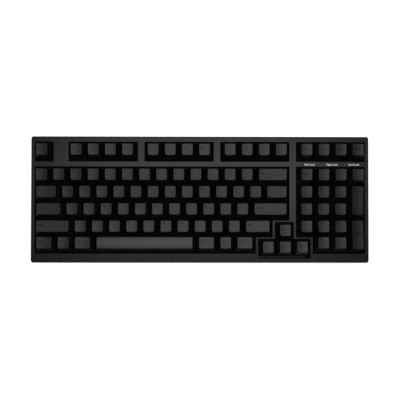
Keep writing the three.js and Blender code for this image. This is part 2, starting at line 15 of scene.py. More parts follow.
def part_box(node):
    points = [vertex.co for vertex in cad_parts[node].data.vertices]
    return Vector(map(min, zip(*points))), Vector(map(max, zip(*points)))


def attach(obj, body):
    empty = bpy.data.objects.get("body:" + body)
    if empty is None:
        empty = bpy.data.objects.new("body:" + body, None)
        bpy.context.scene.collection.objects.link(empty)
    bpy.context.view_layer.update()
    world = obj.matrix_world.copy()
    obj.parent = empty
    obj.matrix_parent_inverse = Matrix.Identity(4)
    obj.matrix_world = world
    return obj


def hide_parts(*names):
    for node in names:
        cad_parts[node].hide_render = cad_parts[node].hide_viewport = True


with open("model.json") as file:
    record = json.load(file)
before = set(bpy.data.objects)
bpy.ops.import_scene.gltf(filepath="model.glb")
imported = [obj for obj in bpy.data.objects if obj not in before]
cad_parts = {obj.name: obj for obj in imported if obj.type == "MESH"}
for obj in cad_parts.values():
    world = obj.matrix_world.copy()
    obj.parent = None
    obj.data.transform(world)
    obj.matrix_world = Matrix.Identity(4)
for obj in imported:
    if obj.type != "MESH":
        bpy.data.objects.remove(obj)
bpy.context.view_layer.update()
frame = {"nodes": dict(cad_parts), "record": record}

MM = 0.001
PITCH = 19.05
CAP_CLEARANCE = 0.95

# ---------------------------------------------------------------- deck frame and level frame
# Deck frame, millimetres: x to the right, y up the slope from the case's front edge, z above the bezel.
# Level frame, millimetres: the CAD frame's own axes.
record = frame["record"]
press_axis = next(j["axis"] for j in record["behaviour"]["joints"] if j["name"] == "esc_press")
TILT = math.asin(press_axis[1])
turn = Matrix.Rotation(TILT, 4, "X")
flat_top = max((turn.inverted() @ v.co).z for v in frame["nodes"]["top_case"].data.vertices)
case_low, case_high = (Vector(c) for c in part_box("top_case"))
front_height = (flat_top + case_low.y * math.sin(TILT)) / math.cos(TILT)
DECK = Matrix.Translation((0, case_low.y, front_height)) @ turn @ Matrix.Scale(MM, 4)
TO_DECK = DECK.inverted()
LEVEL = Matrix.Scale(MM, 4)
CASE_X = case_high.x / MM
CASE_Y = (case_high.y - case_low.y) / MM
SLOPE = CASE_Y / math.cos(TILT)


def deck_box(node):
    """Lowest and highest corner of a CAD node in the deck frame, in millimetres."""
    points = [TO_DECK @ v.co for v in frame["nodes"][node].data.vertices]
    return [Vector([pick(p[i] for p in points) for i in range(3)]) for pick in (min, max)]


def level_box(node):
    """Lowest and highest corner of a CAD node in the level frame, in millimetres."""
    return [Vector(c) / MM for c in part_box(node)]


# ---------------------------------------------------------------- camera, light and world
# Camera in millimetres from the key field's front left corner; light in metres over the origin.
CAMERA_PLACE = (182.0, 51.67, 570)
CAMERA_TARGET = (185.6, 59.67, 0)
CAMERA_ROLL = math.radians(0.073)
CAMERA_LENS = 45.38
LIGHT_PLACE = (0.015, -0.02, 1.33)
LIGHT_SIZE = (1.04, 0.26)
LIGHT_WATTS = 22.7
LIGHT_COLOUR = (0.975, 1.0, 1.0)
WORLD_STRENGTH = 0.12
FIELD_LEFT = deck_box("esc_key")[0].x - CAP_CLEARANCE / 2
FIELD_FRONT = deck_box("left_ctrl_key")[0].y - CAP_CLEARANCE / 2


def look_at(origin, target, up, roll=0.0):
    """Matrix of a camera or light at origin that faces target, turned by roll about its line of sight."""
    z = (origin - target).normalized()
    x = up.cross(z).normalized()
    y = z.cross(x)
    m = Matrix((x, y, z)).transposed().to_4x4()
    return Matrix.Translation(origin) @ m @ Matrix.Rotation(roll, 4, "Z")


def field(x, y, z):
    """World place of a point given from the key field's front left corner, along the deck frame's axes."""
    return DECK @ Vector((FIELD_LEFT + x, FIELD_FRONT + y, z))


scene = bpy.context.scene
camera = bpy.data.objects.new("camera", bpy.data.cameras.new("camera"))
scene.collection.objects.link(camera)
camera.data.sensor_width = 36
camera.data.lens = CAMERA_LENS
camera.data.clip_start = 0.02
camera.data.clip_end = 20
deck_up = (DECK.to_3x3() @ Vector((0, 1, 0))).normalized()
camera.matrix_world = look_at(field(*CAMERA_PLACE), field(*CAMERA_TARGET), deck_up, CAMERA_ROLL)
scene.camera = camera

scene.view_settings.view_transform = "Standard"
scene.view_settings.look = "None"

world = bpy.data.worlds.new("studio")
scene.world = world
world.use_nodes = True
world.node_tree.nodes["Background"].inputs["Color"].default_value = (1, 1, 1, 1)
world.node_tree.nodes["Background"].inputs["Strength"].default_value = WORLD_STRENGTH

lamp = bpy.data.lights.new("overhead", "AREA")
lamp.shape = "RECTANGLE"
lamp.size, lamp.size_y = LIGHT_SIZE
lamp.energy = LIGHT_WATTS
lamp.color = LIGHT_COLOUR
light = bpy.data.objects.new("overhead", lamp)
scene.collection.objects.link(light)
light.matrix_world = look_at(Vector(LIGHT_PLACE), Vector((0, 0, 0)), Vector((0, 1, 0)))


# ---------------------------------------------------------------- materials
FLOOR_GLOW = 0.45


def node_material(name):
    material = bpy.data.materials.new(name)
    material.use_nodes = True
    tree = material.node_tree
    return material, tree, tree.nodes["Principled BSDF"]


def add(tree, kind, **values):
    """A node of one kind, with its input sockets or its own settings given by name."""
    node = tree.nodes.new(kind)
    for key, value in values.items():
        if key in node.inputs:
            node.inputs[key].default_value = value
        else:
            setattr(node, key, value)
    return node


def speckled(name, dark, light, roughness, grain, depth, metallic=0.0, spread=0.06, specular=0.5, patch=45.0):
    """A surface of two close tones: broad soft patches, a fine grain and a bump of that grain."""
    material, tree, shader = node_material(name)
    coords = add(tree, "ShaderNodeTexCoord")
    place = add(tree, "ShaderNodeNewGeometry")
    fine = add(tree, "ShaderNodeTexNoise", Scale=grain, Detail=3.0, Roughness=0.6)
    broad = add(tree, "ShaderNodeTexNoise", Scale=patch, Detail=2.0)
    ramp = add(tree, "ShaderNodeValToRGB")
    ramp.color_ramp.elements[0].position = 0.6
    ramp.color_ramp.elements[1].position = 0.9
    ramp.color_ramp.elements[0].color = (*dark, 1)
    ramp.color_ramp.elements[1].color = (*light, 1)
    half = add(tree, "ShaderNodeMath", operation="MULTIPLY_ADD")
    half.inputs[1].default_value = 0.5
    rough = add(tree, "ShaderNodeMapRange")
    rough.inputs["To Min"].default_value = roughness - spread
    rough.inputs["To Max"].default_value = roughness + spread
    bump = add(tree, "ShaderNodeBump", Strength=0.35, Distance=depth)
    link = tree.links.new
    link(coords.outputs["Object"], fine.inputs["Vector"])
    link(place.outputs["Position"], broad.inputs["Vector"])
    link(fine.outputs["Fac"], half.inputs[0])
    link(broad.outputs["Fac"], half.inputs[2])
    link(half.outputs[0], ramp.inputs["Fac"])
    link(ramp.outputs["Color"], shader.inputs["Base Color"])
    link(fine.outputs["Fac"], rough.inputs["Value"])
    link(rough.outputs["Result"], shader.inputs["Roughness"])
    link(fine.outputs["Fac"], bump.inputs["Height"])
    link(bump.outputs["Normal"], shader.inputs["Normal"])
    shader.inputs["Metallic"].default_value = metallic
    shader.inputs["Specular IOR Level"].default_value = specular
    return material


def grey(value):
    return (value, value, value)


CAP = speckled("cap_plastic", grey(0.0025), grey(0.0045), 0.36, 2600, 0.00006, specular=0.075)
# Tall caps: the cap plastic again with less sheen, so that they read darker: painted shade.
SHADED_TALL_CAP = speckled("tall_key_plastic", grey(0.0025), grey(0.0045), 0.36, 2600, 0.00006, specular=0.05)
# Space bar: the cap plastic again, lighter and with more sheen: painted highlight.
LIT_SPACE_CAP = speckled("space_plastic", grey(0.003), grey(0.005), 0.36, 2600, 0.00004, specular=0.1)
CASE = speckled("case_plastic", grey(0.0025), grey(0.0035), 0.32, 3200, 0.00005, specular=0.06)
# Black coat of the plate, made much darker and duller than the caps so that the gaps between keys read deep
# black: real black coat plus painted shade.
PLATE_WITH_GAP_SHADE = speckled("plate_coat", grey(0.0006), grey(0.001), 0.5, 1800, 0.00003, specular=0.01)
HOUSING = speckled("housing_nylon", grey(0.001), grey(0.0018), 0.45, 900, 0.00002, specular=0.03)
STEM = speckled("stem_plastic", (0.02, 0.02, 0.022), (0.03, 0.03, 0.032), 0.35, 900, 0.00002)
LEGEND = speckled("legend_ink", grey(0.0012), grey(0.002), 0.5, 2400, 0.00002, specular=0.01)
LABEL = speckled("label_ink", grey(0.62), grey(0.8), 0.6, 2400, 0.00001)
STEEL = speckled("plated_steel", grey(0.42), grey(0.6), 0.3, 500, 0.00002, metallic=1.0)
WIRE = speckled("spring_steel", grey(0.03), grey(0.05), 0.4, 500, 0.00002, metallic=1.0)
BOARD = speckled("board_mask", (0.008, 0.035, 0.018), (0.012, 0.05, 0.026), 0.35, 300, 0.00002)
CHIP = speckled("chip_epoxy", grey(0.008), grey(0.012), 0.45, 1200, 0.00003)
RUBBER = speckled("pad_rubber", grey(0.010), grey(0.016), 0.85, 1500, 0.0001)
LENS = speckled("light_pipe", grey(0.05), grey(0.08), 0.25, 300, 0.00001)
FLOOR = speckled("floor_paper", grey(0.6), grey(0.64), 0.8, 200, 0.00002)
floor_shader = FLOOR.node_tree.nodes["Principled BSDF"]
floor_shader.inputs["Emission Color"].default_value = (1, 1, 1, 1)
floor_shader.inputs["Emission Strength"].default_value = FLOOR_GLOW


# ---------------------------------------------------------------- mesh helpers
COPLANAR = math.radians(0.05)


def mesh_object(name, vertices, faces, material, matrix=None, smooth=35.0):
    """A new piece from vertices and faces; edges under smooth degrees are shaded smooth."""
    mesh = bpy.data.meshes.new(name)
    mesh.from_pydata([tuple(v) for v in vertices], [], faces)
    if matrix is not None:
        mesh.transform(matrix)
    finish_mesh(mesh, material, smooth)
    piece = bpy.data.objects.new(name, mesh)
    scene.collection.objects.link(piece)
    return piece


def copy_at(name, mesh, x, y):
    """A piece that shares a finished mesh, at a place on the deck."""
    piece = bpy.data.objects.new(name, mesh)
    scene.collection.objects.link(piece)
    piece.matrix_world = DECK @ Matrix.Translation((x, y, 0))
    return piece


def finish_mesh(mesh, material, smooth):
    """Joins doubles, turns the faces outward, sets the shading and gives the mesh its material."""
    work = bmesh.new()
    work.from_mesh(mesh)
    bmesh.ops.remove_doubles(work, verts=work.verts, dist=1e-7)
    bmesh.ops.recalc_face_normals(work, faces=work.faces)
    limit = math.radians(smooth)
    for edge in work.edges:
        edge.smooth = len(edge.link_faces) == 2 and edge.calc_face_angle(0) < limit
    for face in work.faces:
        face.smooth = not any(
            len(edge.link_faces) == 2 and edge.calc_face_angle(0) < COPLANAR for edge in face.edges
        )
    work.to_mesh(mesh)
    work.free()
    mesh.materials.clear()
    mesh.materials.append(material)


def own(piece, body, slot, *nodes):
    """Hangs a piece on its body and hides the CAD nodes that it replaces; slot is not used."""
    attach(piece, body)
    if nodes:
        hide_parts(*nodes)
    return piece


def stack(rings, close_first=None, close_last=None):
    """Vertices and faces of equal closed rings laid one after another, with optional fans at both ends."""
    count = len(rings[0])
    vertices = [p for ring in rings for p in ring]
    faces = []
    for level in range(len(rings) - 1):
        a, b = level * count, (level + 1) * count
        for i in range(count):
            j = (i + 1) % count
            faces.append((a + i, a + j, b + j, b + i))
    for centre, start in ((close_first, 0), (close_last, (len(rings) - 1) * count)):
        if centre is not None:
            vertices.append(centre)
            hub = len(vertices) - 1
            faces += [(hub, start + i, start + (i + 1) % count) for i in range(count)]
    return vertices, faces


def merged(*parts):
    """One part from several (vertices, faces) parts."""
    vertices, faces = [], []
    for more_vertices, more_faces in parts:
        base = len(vertices)
        vertices += list(more_vertices)
        faces += [tuple(base + i for i in face) for face in more_faces]
    return vertices, faces


def rounded_rect(x0, y0, x1, y1, radius, steps=5):
    """Corner arcs of a rectangle, anticlockwise, as a list of points."""
    radii = radius if isinstance(radius, tuple) else (radius,) * 4
    corners = [(x1, y0, -90), (x1, y1, 0), (x0, y1, 90), (x0, y0, 180)]
    points = []
    for (x, y, start), r in zip(corners, radii):
        centre_x = x - r if x == x1 else x + r
        centre_y = y - r if y == y1 else y + r
        for i in range(steps + 1):
            a = math.radians(start + 90 * i / steps)
            points.append((centre_x + r * math.cos(a), centre_y + r * math.sin(a)))
    return points


def block(x0, y0, x1, y1, z0, z1, radius=0.3, edge=0.15, steps=3):
    """A box with rounded upright corners and a rounded rim at both ends."""
    rings = []
    for z, inset in ((z0, edge), (z0 + edge, 0), (z1 - edge, 0), (z1, edge)):
        ring = rounded_rect(x0 + inset, y0 + inset, x1 - inset, y1 - inset, max(radius - inset, 0.02), steps)
        rings.append([Vector((x, y, z)) for x, y in ring])
    middle = ((x0 + x1) / 2, (y0 + y1) / 2)
    return stack(rings, Vector((*middle, z0)), Vector((*middle, z1)))


def lathe(profile, sides, centre=(0, 0, 0)):
    """A turned body from (radius, height) pairs round the Z axis."""
    rings = []
    for radius, height in profile:
        rings.append([
            Vector((
                centre[0] + radius * math.cos(2 * math.pi * i / sides),
                centre[1] + radius * math.sin(2 * math.pi * i / sides),
                centre[2] + height,
            ))
            for i in range(sides)
        ])
    first = Vector((centre[0], centre[1], centre[2] + profile[0][1]))
    last = Vector((centre[0], centre[1], centre[2] + profile[-1][1]))
    return stack(rings, first, last)


def shifted(part, dx, dy):
    return [v + Vector((dx, dy, 0)) for v in part[0]], part[1]


# ---------------------------------------------------------------- keycaps
# Footprint of a one-unit cap, depth of its top, and how far each side of the top stands in.
CAP_BASE = 18.1
TOP_DEPTH = 13.4
TOP_SIDE_LEAN = 2.925
# Level of the skirt's lower edge, thickness of roof and walls.
SKIRT = -1.6
ROOF = 2.5
CAP_WALL = 1.4
# Hollow of a cap's top; rise of the space bar's top and droop of its ends.
DISH = 0.27
SPACE_CROWN = 0.3
SPACE_DROOP = 0.08
SPACE_END = 6
# Rounded rim of the top, the band inside it, and the corner radii in rounded_rect's order.
EDGE_ROUND = 0.55
FLAT_START = 0.35
BASE_CORNER = (0.9,) * 4
TOP_CORNER = (2.3, 1.5, 1.5, 2.3)
CORNER_STEPS = 5
# Half width from which a cap's front and back edges take more points.
LONG_CAP = 30
# Height of the caps over the deck, rise of their tops towards the back, and lean of the back wall.
ROWS = {
    "f": (9.9, 0.06, 0.5),
    "n": (9.9, 0.06, 0.1),
    "q": (8.7, 0.04, 0.35),
    "a": (8.0, 0.0, 0.45),
    "z": (8.9, -0.05, 0.65),
    "b": (8.2, -0.08, 0.0),
    "up": (8.9, -0.05, 0.35),
    "arrow": (8.2, -0.08, 0.0),
    "plus": (8.4, 0.02, 0.35),
    "enter": (8.6, -0.05, 0.35),
}
# Rows whose caps take the duller copy of the cap plastic, which paints in shade.
TALL_ROWS = ("plus", "enter")


class CapShape:
    """One keycap round its cell's centre, in the deck frame's millimetres."""

    def __init__(self, half_x, half_y, row, crown):
        self.half_x, self.half_y, self.crown = half_x, half_y, crown
        self.top, self.slope, self.lean_back = ROWS[row]
        self.lean_front = CAP_BASE - TOP_DEPTH - self.lean_back

    def sides(self, k, inset=0.0):
        """Half width, front and back at share k of the lean, drawn in by inset."""
        x = self.half_x - TOP_SIDE_LEAN * k - inset
        return x, -self.half_y + self.lean_front * k + inset, self.half_y - self.lean_back * k - inset

    def surface(self, x, y):
        """Height of the top at (x, y)."""
        x_top, front, back = self.sides(1)
        if self.crown:
            across = 2 * (y - front) / (back - front) - 1
            end = min(1, max(0.0, abs(x) - x_top + SPACE_END) / SPACE_END)
            return self.top + self.slope * y - SPACE_CROWN * across ** 2 - SPACE_DROOP * end ** 2
        reach = min(1.0, abs(x) / x_top)
        return self.top + self.slope * y + DISH * (reach * reach - 1)

    def ring(self, k, inset, height, corner):
        """Points round the cap at share k of its lean; height is a function of x and y."""
        x, front, back = self.sides(k, inset)
        arcs = rounded_rect(-x, front, x, back, corner, CORNER_STEPS)
        per = CORNER_STEPS + 1
        along_x = 8 if self.half_x < LONG_CAP else 24
        points = []
        for c in range(4):
            points += arcs[c * per:(c + 1) * per]
            a, b = arcs[(c + 1) * per - 1], arcs[((c + 1) * per) % len(arcs)]
            parts = 4 if c % 2 == 0 else along_x
            for i in range(1, parts):
                t = i / parts
                points.append((a[0] + (b[0] - a[0]) * t, a[1] + (b[1] - a[1]) * t))
        return [Vector((px, py, height(px, py))) for px, py in points]

    def wall_ring(self, k):
        """Outer wall at share k of its height."""
        corner = tuple(b + (t - b) * k for b, t in zip(BASE_CORNER, TOP_CORNER))
        top_ring = self.top_ring(0, EDGE_ROUND)
        ring = self.ring(k, 0, lambda x, y: 0, corner)
        return [Vector((p.x, p.y, SKIRT + k * (q.z - SKIRT))) for p, q in zip(ring, top_ring)]

    def top_ring(self, inset, drop=0.0):
        """Outline of the top, drawn in by inset and lowered by drop."""
        radii = tuple(r - inset for r in TOP_CORNER)
        return self.ring(1, inset, lambda x, y: self.surface(x, y) - drop, radii)

    def inner_ring(self, k, z):
        """Inner wall at share k of its lean."""
        return self.ring(k * 0.9, CAP_WALL, lambda x, y: z, (0.7,) * 4)

    def build(self):
        """The hollow cap with the round boss that its stem is moulded into."""
        outer = [self.wall_ring(k) for k in (0, 0.02, 0.35, 0.7, 1)]
        for a in (math.radians(30 * step) for step in (1, 2, 3)):
            outer.append(self.top_ring(EDGE_ROUND * (1 - math.cos(a)), EDGE_ROUND * (1 - math.sin(a))))
        rim = self.top_ring(EDGE_ROUND + FLAT_START)
        outer.append(rim)
        _, front, back = self.sides(1)
        middle = (front + back) / 2
        for s in (0.8, 0.55, 0.3):
            places = [(p.x * s, middle + (p.y - middle) * s) for p in rim]
            outer.append([Vector((x, y, self.surface(x, y))) for x, y in places])
        ceiling = self.top - ROOF
        inner = [self.inner_ring(k, z) for k, z in ((0.75, ceiling), (0.7, ceiling - 0.4), (0.03, SKIRT))]
        ends = Vector((0, middle, ceiling)), Vector((0, middle, self.surface(0, middle)))
        boss_base = SKIRT + 2.0
        boss = lathe([(2.4, 0), (2.7, 0.3), (2.7, ceiling + 0.6 - boss_base)], 20, (0, 0, boss_base))
        return merged(stack(inner + outer, *ends), boss)


# Row and legends of each body, from left to right.
BODIES = {
    "esc_key": ("f", ["Esc"]),
    "f1_to_f4_keys": ("f", ["F1", "F2", "F3", "F4"]),
    "f5_to_f8_keys": ("f", ["F5", "F6", "F7", "F8"]),
    "f9_to_f12_keys": ("f", ["F9", "F10", "F11", "F12"]),
    "navigation_keys": ("f", ["Ins", "Del", "PgUp", "PgDn"]),
    "digit_row_keys": (
        "n", ["~ `", "! 1", "@ 2", "# 3", "$ 4", "% 5", "^ 6", "& 7", "* 8", "( 9", ") 0", "_ -", "+ ="],
    ),
    "backspace_key": ("n", ["Back"]),
    "numpad_operator_keys": ("n", ["Num", "/", "*", "-"]),
    "tab_key": ("q", ["Tab"]),
    "upper_letter_keys": ("q", list("QWERTYUIOP") + ["{ [", "} ]"]),
    "backslash_key": ("q", ["| \\"]),
    "numpad_789_keys": ("q", ["7", "8", "9"]),
    "numpad_plus_key": ("plus", ["+"]),
    "caps_lock_key": ("a", ["Caps"]),
    "home_letter_keys": ("a", list("ASDFGHJKL") + [": ;", "\" '"]),
    "enter_key": ("a", ["Enter"]),
    "numpad_456_keys": ("a", ["4", "5", "6"]),
    "left_shift_key": ("z", ["Shift"]),
    "lower_letter_keys": ("z", list("ZXCVBNM") + ["< ,", "> .", "? /"]),
    "right_shift_key": ("z", ["Shift"]),
    "up_key": ("up", ["up"]),
    "numpad_123_keys": ("z", ["1", "2", "3"]),
    "numpad_enter_key": ("enter", ["Enter"]),
    "left_ctrl_key": ("b", ["Ctrl"]),
    "left_meta_key": ("b", ["meta"]),
    "left_alt_key": ("b", ["Alt"]),
    "space_key": ("b", [""]),
    "right_alt_key": ("b", ["Alt"]),
    "fn_key": ("b", ["Fn"]),
    "right_ctrl_key": ("b", ["Ctrl"]),
    "left_key": ("arrow", ["left"]),
    "down_key": ("arrow", ["down"]),
    "right_key": ("arrow", ["right"]),
    "numpad_0_dot_keys": ("b", ["0", "."]),
}
# Turn of the arrow legends from the upward one, in degrees.
ARROWS = {"left": 90, "up": 0, "right": -90, "down": 180}
# Font sizes of the legends, and half the thickness of their ink.
LETTER_SIZE = 4.4
WORD_SIZE = 3.3
PAIR_SIZE = 3.2
INK = 0.02
# A legend's left margin and lift on the cap's top, and its base line: a letter's below the back edge, the
# two signs' from a letter's, and a word's from the middle.
LEGEND_MARGIN = 2.0
LEGEND_LIFT = 0.015
LETTER_BASE = 4.6
SIGN_BASES = (1.6, -2.4)
WORD_BASE = 0.2
cap_meshes = {}


def short_name(body):
    return body.replace("_keys", "").replace("_key", "")


def cap_mesh(half_x, half_y, row, crown):
    """The shape and the shared mesh of all caps of one size and row."""
    key = (round(half_x, 2), round(half_y, 2), row, crown)
    if key not in cap_meshes:
        shape = CapShape(half_x, half_y, row, crown)
        vertices, faces = shape.build()
        mesh = bpy.data.meshes.new("keycap")
        mesh.from_pydata([tuple(v) for v in vertices], [], faces)
        finish_mesh(mesh, LIT_SPACE_CAP if crown else SHADED_TALL_CAP if row in TALL_ROWS else CAP, 40)
        cap_meshes[key] = (shape, mesh)
    return cap_meshes[key]


def text_part(words, size):
    """The outline of some words as flat vertices and faces, in millimetres, from their left end."""
    curve = bpy.data.curves.new("words", "FONT")
    curve.body = words
    curve.size = size
    curve.resolution_u = 3
    curve.extrude = INK
    writer = bpy.data.objects.new("words", curve)
    scene.collection.objects.link(writer)
    bpy.context.view_layer.update()
    mesh = bpy.data.meshes.new_from_object(writer)
    part = [v.co.copy() for v in mesh.vertices], [tuple(p.vertices) for p in mesh.polygons]
    bpy.data.objects.remove(writer)
    bpy.data.curves.remove(curve)
    bpy.data.meshes.remove(mesh)
    return part


def prism_part(outline, low, high):
    """An upright prism over a convex outline."""
    rings = [[Vector((x, y, z)) for x, y in outline] for z in (low, high)]
    middle = (sum(p[0] for p in outline) / len(outline), sum(p[1] for p in outline) / len(outline))
    return stack(rings, Vector((*middle, low)), Vector((*middle, high)))


def arrow_part(angle):
    """An arrow round the origin, turned from the upward one by angle degrees."""
    turned = Matrix.Rotation(math.radians(angle), 3, "Z")
    head = prism_part([(-1.0, 0.2), (1.0, 0.2), (0, 1.5)], -INK, INK)
    shaft = prism_part([(-0.22, -1.3), (0.22, -1.3), (0.22, 0.3), (-0.22, 0.3)], -INK, INK)
    vertices, faces = merged(head, shaft)
    return [turned @ v for v in vertices], faces


def legend_part(words):
    """A legend as a flat part: an arrow, a plain diamond, two signs one over the other, or words."""
    if words in ARROWS:
        return shifted(arrow_part(ARROWS[words]), 1.5, 1.0)
    if words == "meta":
        return prism_part([(0, 1.1), (1.1, 0), (2.2, 1.1), (1.1, 2.2)], -INK, INK)
    if " " in words:
        signs = zip(words.split(" "), SIGN_BASES)
        return merged(*(shifted(text_part(sign, PAIR_SIZE), 0, base) for sign, base in signs))
    return text_part(words, LETTER_SIZE if len(words) == 1 else WORD_SIZE)


legend_cache = {}


def legend(words, shape, x, y):
    """A legend laid on a cap's surface, moved to the cap's centre at (x, y)."""
    if words not in legend_cache:
        legend_cache[words] = legend_part(words)
    x_top, front, back = shape.sides(1)
    left = -x_top + LEGEND_MARGIN
    base = back - LETTER_BASE if len(words) == 1 or " " in words else (front + back) / 2 + WORD_BASE
    part_vertices, faces = legend_cache[words]
    vertices = []
    for v in part_vertices:
        px, py = left + v.x, base + v.y
        vertices.append(Vector((x + px, y + py, shape.surface(px, py) + LEGEND_LIFT + v.z)))
    return vertices, faces


def keys_of(body):
    """Centre and half size of each key of a body, in the deck frame."""
    low, high = deck_box(body)
    count = len(BODIES[body][1])
    width = (high.x - low.x + CAP_CLEARANCE) / count
    y = (low.y + high.y) / 2
    half_y = (high.y - low.y) / 2
    return [
        (low.x - CAP_CLEARANCE / 2 + width * (i + 0.5), y, (width - CAP_CLEARANCE) / 2, half_y)
        for i in range(count)
    ]


all_keys = []
for body, (row, words) in BODIES.items():
    name = short_name(body)
    inks = []
    cells = keys_of(body)
    for i, (x, y, half_x, half_y) in enumerate(cells):
        all_keys.append((x, y, body))
        shape, mesh = cap_mesh(half_x, half_y, row, body == "space_key")
        label = name if len(cells) == 1 else f"{name}_{i + 1}"
        own(copy_at(f"cap_{label}", mesh, x, y), body, "keycap", *([body] if i == 0 else []))
        if words[i]:
            inks.append(legend(words[i], shape, x, y))
    if inks:
        ink = mesh_object(f"legends_{name}", *merged(*inks), LEGEND, DECK, 20)
        own(ink, body, "keycap")


# ---------------------------------------------------------------- plates with holes
def fillet(points, radius, steps=4):
    """A closed polygon with its corners rounded."""
    rounded = []
    count = len(points)
    for i in range(count):
        before, here, after = (Vector(points[(i + k) % count]) for k in (-1, 0, 1))
        a, b = (before - here).normalized(), (after - here).normalized()
        half = a.angle(b) / 2
        reach = radius / math.tan(half)
        centre = here + (a + b).normalized() * (radius / math.sin(half))
        start, end = here + a * reach - centre, here + b * reach - centre
        sweep = start.angle_signed(end)
        for k in range(steps + 1):
            rounded.append(centre + Matrix.Rotation(-sweep * k / steps, 2) @ start)
    return rounded


def offset_left(loop, distance):
    """A closed loop moved to the left of its own direction."""
    moved = []
    count = len(loop)
    for i in range(count):
        before, here, after = (Vector(loop[(i + k) % count]) for k in (-1, 0, 1))
        a, b = (here - before).normalized(), (after - here).normalized()
        n, m = Vector((-a.y, a.x)), Vector((-b.y, b.x))
        moved.append(here + (n + m) * (distance / (1 + n.dot(m))))
    return moved


def signed_area(loop):
    return sum(a[0] * b[1] - b[0] * a[1] for a, b in zip(loop, loop[1:] + loop[:1])) / 2


def sheet_with_holes(loops, profiles, height):
    """A body between two flat fills. Each loop has its material on its left and a profile of
    (offset into the material, level) pairs from the first fill to the last; a profile that ends in
    None closes on a fill of its own. height(x, y, level) gives the third coordinate."""
    vertices, faces, first, last = [], [], [], []
    for loop, profile in zip(loops, profiles):
        blind = profile[-1] is None
        rings = []
        for inset, level in (profile[:-1] if blind else profile):
            base = len(vertices)
            for p in offset_left(loop, inset):
                vertices.append(height(p.x, p.y, level))
            rings.append(list(range(base, len(vertices))))
        for a, b in zip(rings, rings[1:]):
            for i in range(len(a)):
                j = (i + 1) % len(a)
                faces.append((a[i], a[j], b[j], b[i]))
        first.append(rings[0])
        if blind:
            faces += fill([rings[-1]], vertices)
        else:
            last.append(rings[-1])
    faces += fill(first, vertices) + fill(last, vertices)
    return vertices, faces


def fill(rings, vertices):
    """Flat triangles between closed rings of vertex numbers, seen from above."""
    flat = [index for ring in rings for index in ring]
    loops = [[Vector((vertices[i].x, vertices[i].y, 0)) for i in ring] for ring in rings]
    return [tuple(flat[i] for i in triangle) for triangle in tessellate_polygon(loops)]


def clockwise(loop):
    return loop if signed_area(loop) < 0 else loop[::-1]


def edge_profile(radius, steps=4):
    """(offset, drop) pairs of a rounded rim, from the flat face to the wall."""
    return [
        (radius * (1 - math.sin(a)), radius * (1 - math.cos(a)))
        for a in (math.pi / 2 * k / steps for k in range(steps + 1))
    ]


def cut_with(piece, tool):
    """Cuts a closed tool mesh from a piece and drops the tool."""
    cutter = piece.modifiers.new("cut", "BOOLEAN")
    cutter.operation = "DIFFERENCE"
    cutter.solver = "EXACT"
    cutter.object = tool
    bpy.context.view_layer.update()
    cut = bpy.data.meshes.new_from_object(piece.evaluated_get(bpy.context.evaluated_depsgraph_get()))
    piece.modifiers.clear()
    piece.data = cut
    bpy.data.objects.remove(tool)


# ---------------------------------------------------------------- top case
# Clearance of the openings round their units, and their corner radius.
OPENING_X, OPENING_Y = 0.78, 1.38
OPENING_CORNER = 0.8
# Levels of the aprons' lower ends and of the parting line, with the gap between the two shells.
APRON_END = -7.6
PARTING = -10.5
PARTING_ROUND = 0.25
SHELL_GAP = 0.3
# Thickness of the outer walls, their corner radius, and the rounding of the outer rim and of the openings.
WALL = 2.2
CASE_CORNER = 2.5
BEZEL_ROUND = 0.9
HOLE_ROUND = 0.35
# Radius of the lights' holes; size, base line and lift of the words beside them.
LIGHT_HOLE = 1.25
LABEL_SIZE = 2.9
LABEL_BASE = -1.0
LABEL_LIFT = 0.012
# Front and back edges, in units, of the function keys' openings and of the blocks' openings.
F_FRONT, F_BACK = 5.497, 6.5
BLOCK_FRONT, BLOCK_BACK = 0.035, 5.03


def units(u, v):
    """Deck place of a point given in key units from the field's front left corner."""
    return FIELD_LEFT + u * PITCH, FIELD_FRONT + v * PITCH


def opening_loop(corners):
    """A bezel opening from corners in units, anticlockwise, grown by its clearances."""
    count = len(corners)
    grown = []
    for i in range(count):
        here = units(*corners[i])
        before, after = units(*corners[i - 1]), units(*corners[(i + 1) % count])
        dx = dy = 0.0
        for a, b in ((before, here), (here, after)):
            if abs(a[0] - b[0]) < 1e-6:
                dx = OPENING_X if b[1] > a[1] else -OPENING_X
            else:
                dy = -OPENING_Y if b[0] > a[0] else OPENING_Y
        grown.append((here[0] + dx, here[1] + dy))
    return fillet(grown, OPENING_CORNER)


# Corners of the openings in units: five for the function keys, the main block, the arrows and the number pad.
OPENINGS = [
    [(left, F_FRONT), (right, F_FRONT), (right, F_BACK), (left, F_BACK)]
    for left, right in ((0, 1), (2, 6), (6.5, 10.5), (11, 15), (15.5, 19.5))
] + [
    [(0, BLOCK_FRONT), (13, BLOCK_FRONT), (13, 1), (14, 1), (14, 2), (15, 2), (15, BLOCK_BACK),
     (0, BLOCK_BACK)],
    [(13.25, -0.25), (16.25, -0.25), (16.25, 0.75), (15.25, 0.75), (15.25, 1.75), (14.25, 1.75),
     (14.25, 0.75), (13.25, 0.75)],
    [(16.5, BLOCK_FRONT), (19.5, BLOCK_FRONT), (19.5, BLOCK_BACK), (15.5, BLOCK_BACK), (15.5, 1), (16.5, 1)],
]
# Words beside each light, their distance from it and their width.
LIGHTS = {
    "number_light": ("Num Lock", 2.6, 11.9),
    "capitals_light": ("Caps Lock", 2.7, 13.0),
    "scroll_light": ("Scroll Lock", 3.4, 12.6),
}


def circle_loop(x, y, radius, sides=20):
    angles = [2 * math.pi * i / sides for i in range(sides)]
    return [Vector((x + radius * math.cos(a), y + radius * math.sin(a))) for a in angles]


def light_place(node):
    low, high = deck_box(node)
    return (low.x + high.x) / 2, (low.y + high.y) / 2


